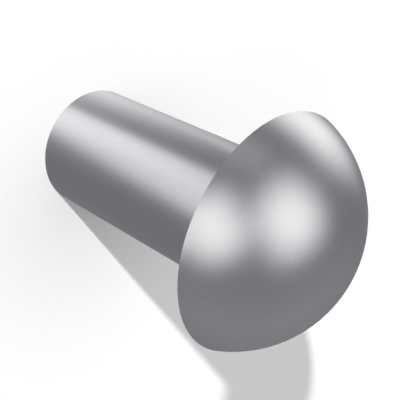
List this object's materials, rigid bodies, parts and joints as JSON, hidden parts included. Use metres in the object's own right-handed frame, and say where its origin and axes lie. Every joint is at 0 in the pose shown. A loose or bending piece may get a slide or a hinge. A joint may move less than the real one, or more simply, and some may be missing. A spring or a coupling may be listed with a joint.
{
  "type": "solid rivet",
  "caption": "One-piece solid rivet with a domed round head, a flat bearing underside and a plain round shank, to be set through a clearance hole.",
  "frame": {"origin": "on the rivet's axis, in the plane of the head's flat underside", "axes": "+Z along the axis from the shank towards the crown of the head; X and Y are alike, since the rivet is round"},
  "size_m": [0.018, 0.018, 0.026],
  "materials": {
    "steel": "satin"
  },
  "bodies": {
    "root": {"rivet": "steel"}
  },
  "joints": []
}
